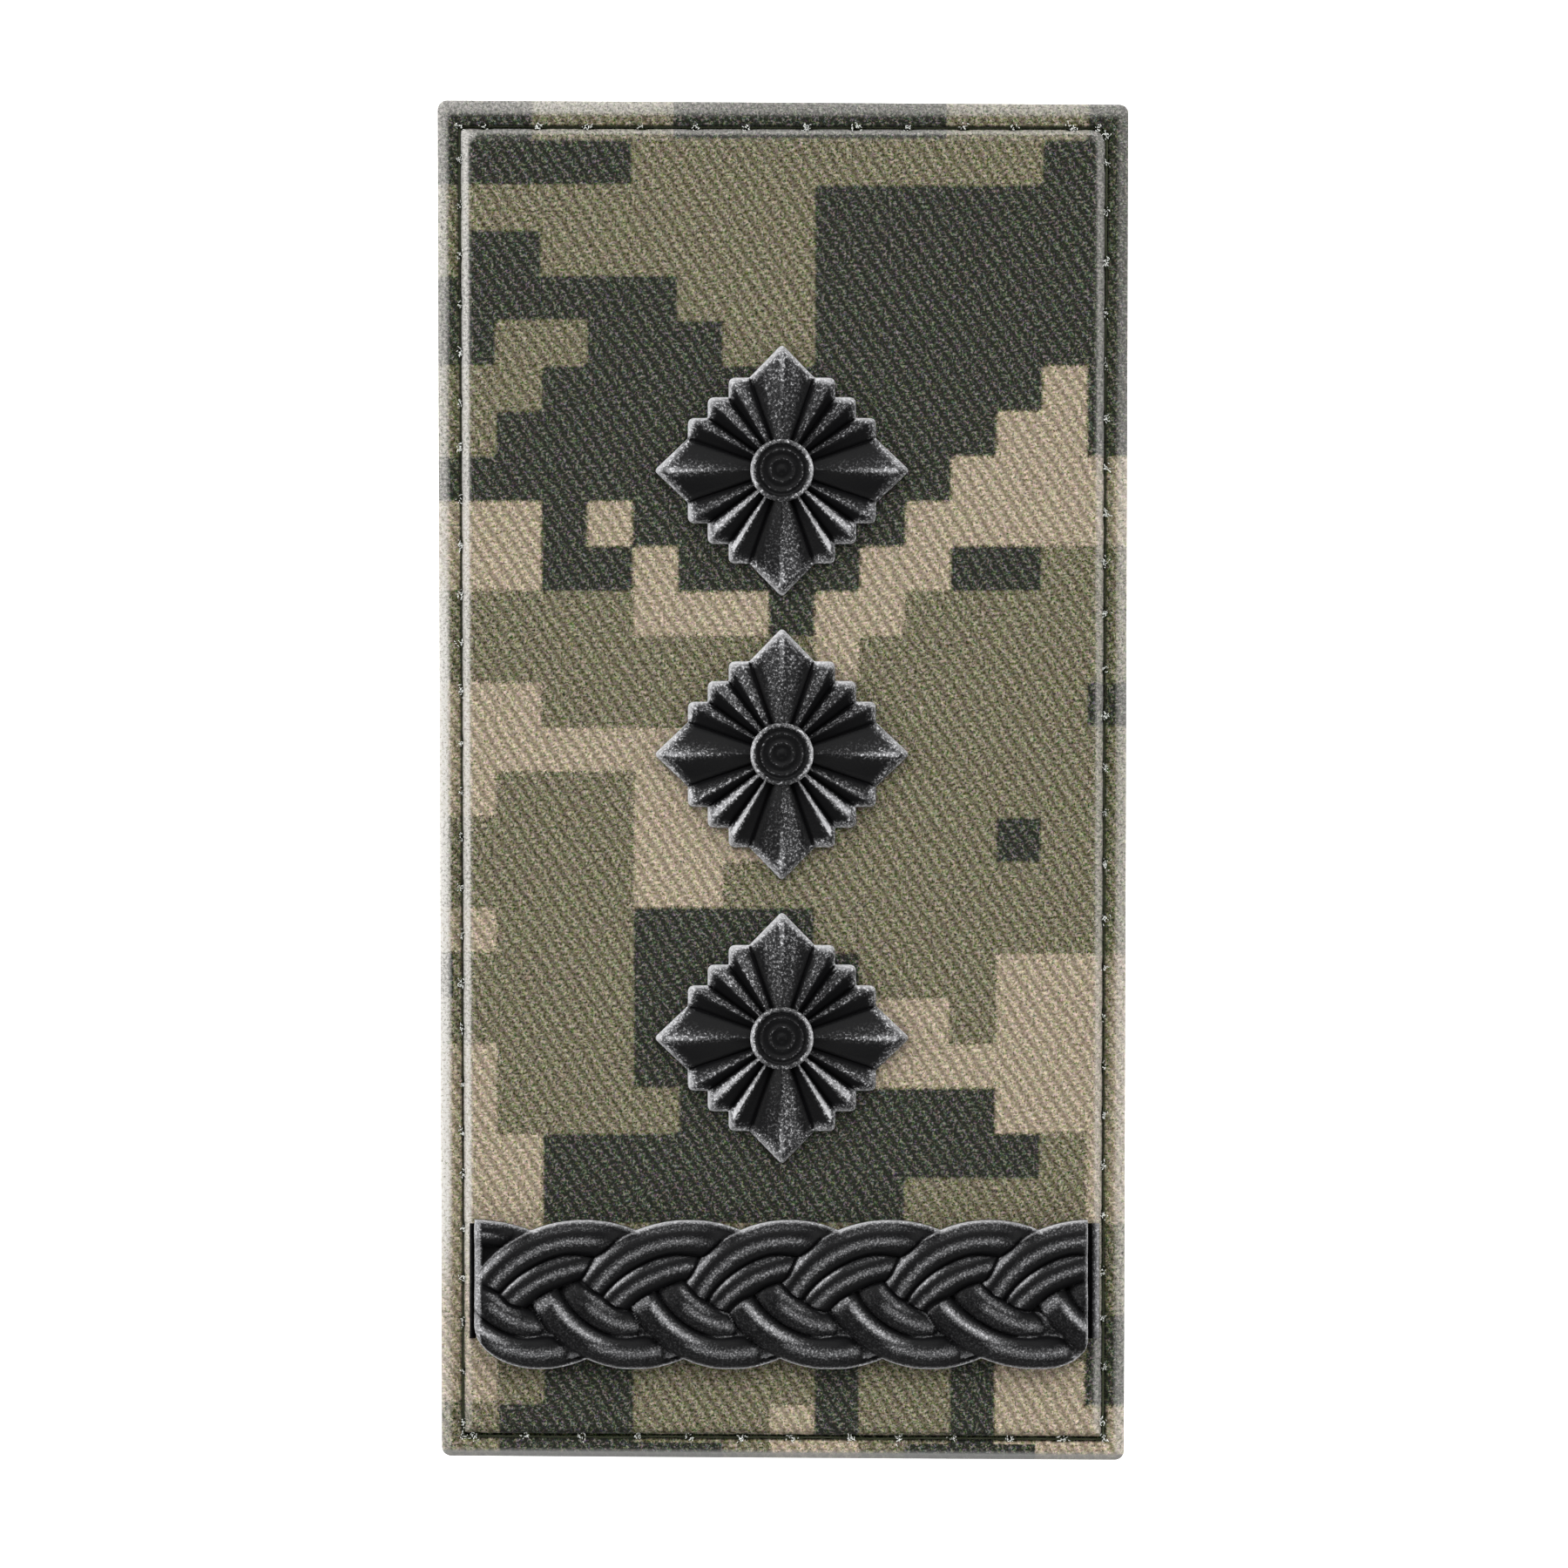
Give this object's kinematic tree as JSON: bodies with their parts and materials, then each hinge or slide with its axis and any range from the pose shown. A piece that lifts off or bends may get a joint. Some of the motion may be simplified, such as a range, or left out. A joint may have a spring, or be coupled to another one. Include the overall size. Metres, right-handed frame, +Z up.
{
  "type": "shoulder board",
  "caption": "Slip-on shoulder board of camouflage cloth with black moulded diamond pips in a row above a plaited bar.",
  "frame": {"origin": "on the floor under the middle of the board", "axes": "+Y along the board from the plait to the pips, +X to the right of a viewer who has the plait at the bottom, +Z up through the face that shows"},
  "size_m": [0.0506, 0.1, 0.0103],
  "materials": {
    "camouflage_cloth": "matte twill, printed in dark green, khaki and tan blocks",
    "sleeve_cloth": "matte plain olive twill",
    "black_rubber": "moulded, satin, with a fine grain"
  },
  "bodies": {
    "root": {"board_front": "camouflage_cloth", "back_sleeve": "sleeve_cloth", "pip_upper": "black_rubber", "pip_middle": "black_rubber", "pip_lower": "black_rubber", "plait": "black_rubber"}
  },
  "joints": []
}
